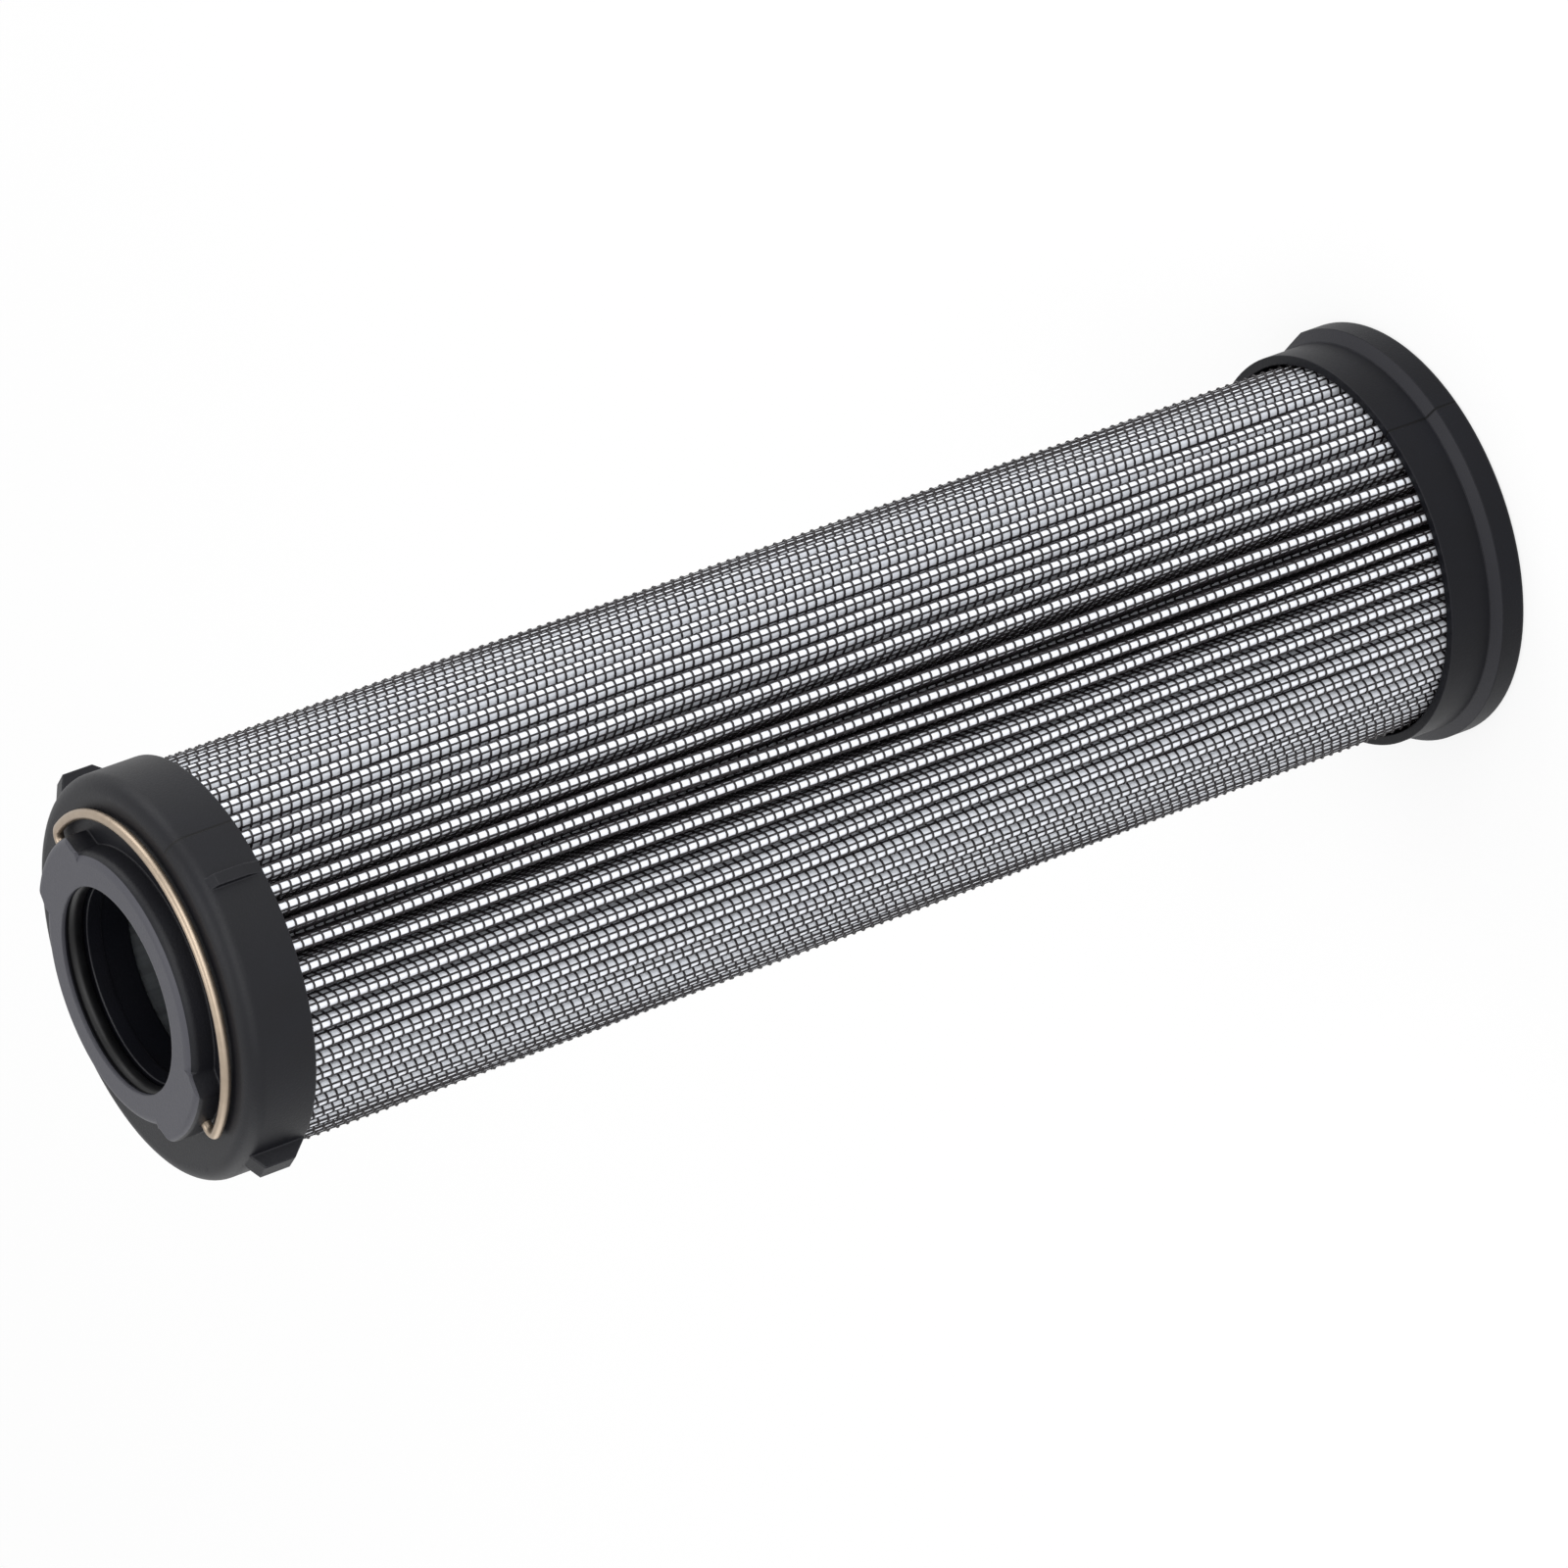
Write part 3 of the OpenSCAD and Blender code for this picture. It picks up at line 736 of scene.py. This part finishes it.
def spun_fleece(code):
    """Non-woven polyester fleece: matt white fibres that bulge a little through the wire cells."""
    tree, shader, place = material("spun_fleece")
    cells = add(tree, "ShaderNodeUVMap", uv_map="weave").outputs["UV"]
    parts = add(tree, "ShaderNodeSeparateXYZ", {"Vector": cells})
    swell = []
    for axis in ("X", "Y"):
        half_turns = add(tree, "ShaderNodeMath", {
            0: parts.outputs[axis], 1: math.pi}, operation="MULTIPLY")
        wave = add(tree, "ShaderNodeMath", {0: half_turns.outputs[0]}, operation="SINE")
        swell.append(add(tree, "ShaderNodeMath", {0: wave.outputs[0]}, operation="ABSOLUTE"))
    pillow = add(tree, "ShaderNodeMath", {
        0: swell[0].outputs[0], 1: swell[1].outputs[0]}, operation="MULTIPLY")
    fibres = add(tree, "ShaderNodeTexNoise", {
        "Vector": place, "Scale": 1 / (0.12 * MM), "Detail": 2.0})
    height = add(tree, "ShaderNodeMath", {
        0: fibres.outputs["Fac"], 1: 0.3, 2: pillow.outputs[0]}, operation="MULTIPLY_ADD")
    bump = add(tree, "ShaderNodeBump", {
        "Height": height.outputs[0], "Distance": 0.03 * MM, "Strength": 0.8})
    # The fleece is painted darker next to the wires: partly a painted contact shadow, partly epoxy
    # that wicked into the fleece.
    shade = add(tree, "ShaderNodeMapRange", {
        "Value": pillow.outputs[0], "From Min": 0.0, "From Max": 0.3})
    tone = add(tree, "ShaderNodeMix", {
        "Factor": shade.outputs["Result"], "A": linear("#d3d6da"), "B": linear(code)},
        data_type="RGBA")
    tree.links.new(tone.outputs["Result"], shader.inputs["Base Color"])
    tree.links.new(bump.outputs["Normal"], shader.inputs["Normal"])
    shader.inputs["Roughness"].default_value = 0.9
    shader.inputs["Sheen Weight"].default_value = 0.15


def glass_fibre():
    """Wet-laid glass fibre sheet: matt, faintly cream, with a felted grain."""
    tree, shader, place = material("glass_fibre_paper")
    mottle(tree, shader, place, 0.6 * MM, 3.0, "#e2dfd4", "#f4f2ea", 0.95)


def zinc_steel():
    """Rolled strip with bright zinc plating: a cool grey metal, streaked along the rolling."""
    tree, shader, place = material("zinc_plated_steel")
    stretch = add(tree, "ShaderNodeMapping", {"Vector": place, "Scale": (1, 1, 0.05)})
    mottle(tree, shader, stretch.outputs["Vector"], 0.4 * MM, 3.0, "#8f9498", "#b4b8bc",
           (0.35, 0.6))
    shader.inputs["Metallic"].default_value = 1.0


def nitrile_rubber():
    """Moulded nitrile rubber, lightly oiled: black with a broad wet shine."""
    tree, shader, place = material("nitrile_rubber")
    mottle(tree, shader, place, 2.5 * MM, 2.0, "#09090a", "#111113", (0.3, 0.5))
    shader.inputs["IOR"].default_value = 1.52
    shader.inputs["Specular IOR Level"].default_value = 0.25


def stainless_wire(code):
    """Drawn stainless spring wire: a warm grey metal, a little blotched by handling."""
    tree, shader, place = material("drawn_stainless_wire")
    mottle(tree, shader, place, 1.4 * MM, 4.0, "#928474", code, (0.32, 0.5))
    shader.inputs["Metallic"].default_value = 0.9


def cast_adhesive():
    """Poured two-part adhesive: dark, smooth and slightly cloudy."""
    tree, shader, place = material("cast_adhesive")
    mottle(tree, shader, place, 4 * MM, 2.0, "#3a3732", "#4b4740", 0.35)


class FILTER_OT_stage(bpy.types.Operator):
    """Sets up the floor, the soft lights, the pale surroundings and the camera"""

    bl_idname = "filter.stage"
    bl_label = "Stage"

    def execute(self, context):
        scene = context.scene
        scene.view_settings.view_transform = "Standard"
        deselect()
        bpy.ops.mesh.primitive_plane_add(size=FLOOR_ACROSS, location=(0, 0, 0))
        floor = context.active_object
        floor.name = "floor"
        floor_paint()
        wear(floor, "matt_white_floor")
        white_surroundings(scene)
        for name, place, size, power in LAMPS:
            lamp = bpy.data.lights.new(name, "AREA")
            lamp.size = size
            lamp.energy = power
            stand = bpy.data.objects.new(name, lamp)
            scene.collection.objects.link(stand)
            aim = Vector(LAMP_AIM) - Vector(place)
            stand.location = place
            stand.rotation_euler = aim.to_track_quat("-Z", "Y").to_euler()
        camera = bpy.data.objects.new("camera", bpy.data.cameras.new("camera"))
        scene.collection.objects.link(camera)
        right = Vector(CAMERA_RIGHT).normalized()
        back = Vector(CAMERA_BACK).normalized()
        up = back.cross(right).normalized()
        camera.matrix_world = Matrix.LocRotScale(
            Vector(CAMERA_PLACE), Matrix((right, up, back)).transposed(), None)
        camera.data.sensor_width = SENSOR
        camera.data.lens = LENS
        camera.data.clip_end = FAR_LIMIT
        scene.camera = camera
        return {"FINISHED"}


def seen_directly(tree):
    """One for a ray from the camera, a reflection or a clear material, and nought for the rest."""
    path = add(tree, "ShaderNodeLightPath")
    total = path.outputs["Is Camera Ray"]
    for name in ("Is Glossy Ray", "Is Transmission Ray"):
        total = add(tree, "ShaderNodeMath", {0: total, 1: path.outputs[name]},
                    operation="MAXIMUM").outputs[0]
    return total


def floor_paint():
    """Matt white paint. Most of what the camera sees of it is a plain white, so shadows stay soft."""
    tree, shader, place = material("matt_white_floor")
    mottle(tree, shader, place, 250 * MM, 2.0, "#f4f4f4", "#f8f8f8", 0.9)
    glow = add(tree, "ShaderNodeEmission", {"Color": (1, 1, 1, 1), "Strength": 1.0})
    share = add(tree, "ShaderNodeMath", {0: seen_directly(tree), 1: FLOOR_GLOW},
                operation="MULTIPLY")
    mix = add(tree, "ShaderNodeMixShader", {
        0: share.outputs[0], 1: shader.outputs["BSDF"], 2: glow.outputs["Emission"]})
    tree.links.new(mix.outputs[0], tree.nodes["Material Output"].inputs["Surface"])


def white_surroundings(scene):
    """A plain white world that lights the part less brightly than it is seen."""
    world = bpy.data.worlds.new("studio")
    scene.world = world
    world.use_nodes = True
    tree = world.node_tree
    sky = tree.nodes["Background"]
    strength = add(tree, "ShaderNodeMapRange", {
        "Value": seen_directly(tree), "To Min": SKY_LIGHT, "To Max": SKY_SEEN})
    sky.inputs["Color"].default_value = (1, 1, 1, 1)
    tree.links.new(strength.outputs["Result"], sky.inputs["Strength"])


class FILTER_PT_panel(bpy.types.Panel):
    """Lists the sizes, the colours and the steps"""

    bl_idname = "FILTER_PT_panel"
    bl_label = "Filter element"
    bl_space_type = "VIEW_3D"
    bl_region_type = "UI"
    bl_category = "Filter element"

    def draw(self, context):
        scene = context.scene
        for group in (scene.filter_pack, scene.filter_bail, scene.filter_finishes):
            box = self.layout.box()
            for key in group.__annotations__:
                box.prop(group, key)
        for step in STEPS:
            self.layout.operator(step.bl_idname)


STEPS = (FILTER_OT_finishes, FILTER_OT_stage, FILTER_OT_sheets, FILTER_OT_round_wires,
         FILTER_OT_long_wires, FILTER_OT_bail)
GROUPS = (PackSizes, BailSizes, Finishes)


def register():
    for each in GROUPS + STEPS + (FILTER_PT_panel,):
        bpy.utils.register_class(each)
    bpy.types.Scene.filter_pack = bpy.props.PointerProperty(type=PackSizes)
    bpy.types.Scene.filter_bail = bpy.props.PointerProperty(type=BailSizes)
    bpy.types.Scene.filter_finishes = bpy.props.PointerProperty(type=Finishes)


def unregister():
    for name in ("filter_pack", "filter_bail", "filter_finishes"):
        delattr(bpy.types.Scene, name)
    for each in reversed(GROUPS + STEPS + (FILTER_PT_panel,)):
        bpy.utils.unregister_class(each)


def main():
    register()
    bpy.ops.filter.finishes()
    bpy.ops.filter.stage()
    bpy.ops.filter.sheets()
    bpy.ops.filter.round_wires()
    bpy.ops.filter.long_wires()
    bpy.ops.filter.bail()


if __name__ == "__main__":
    main()
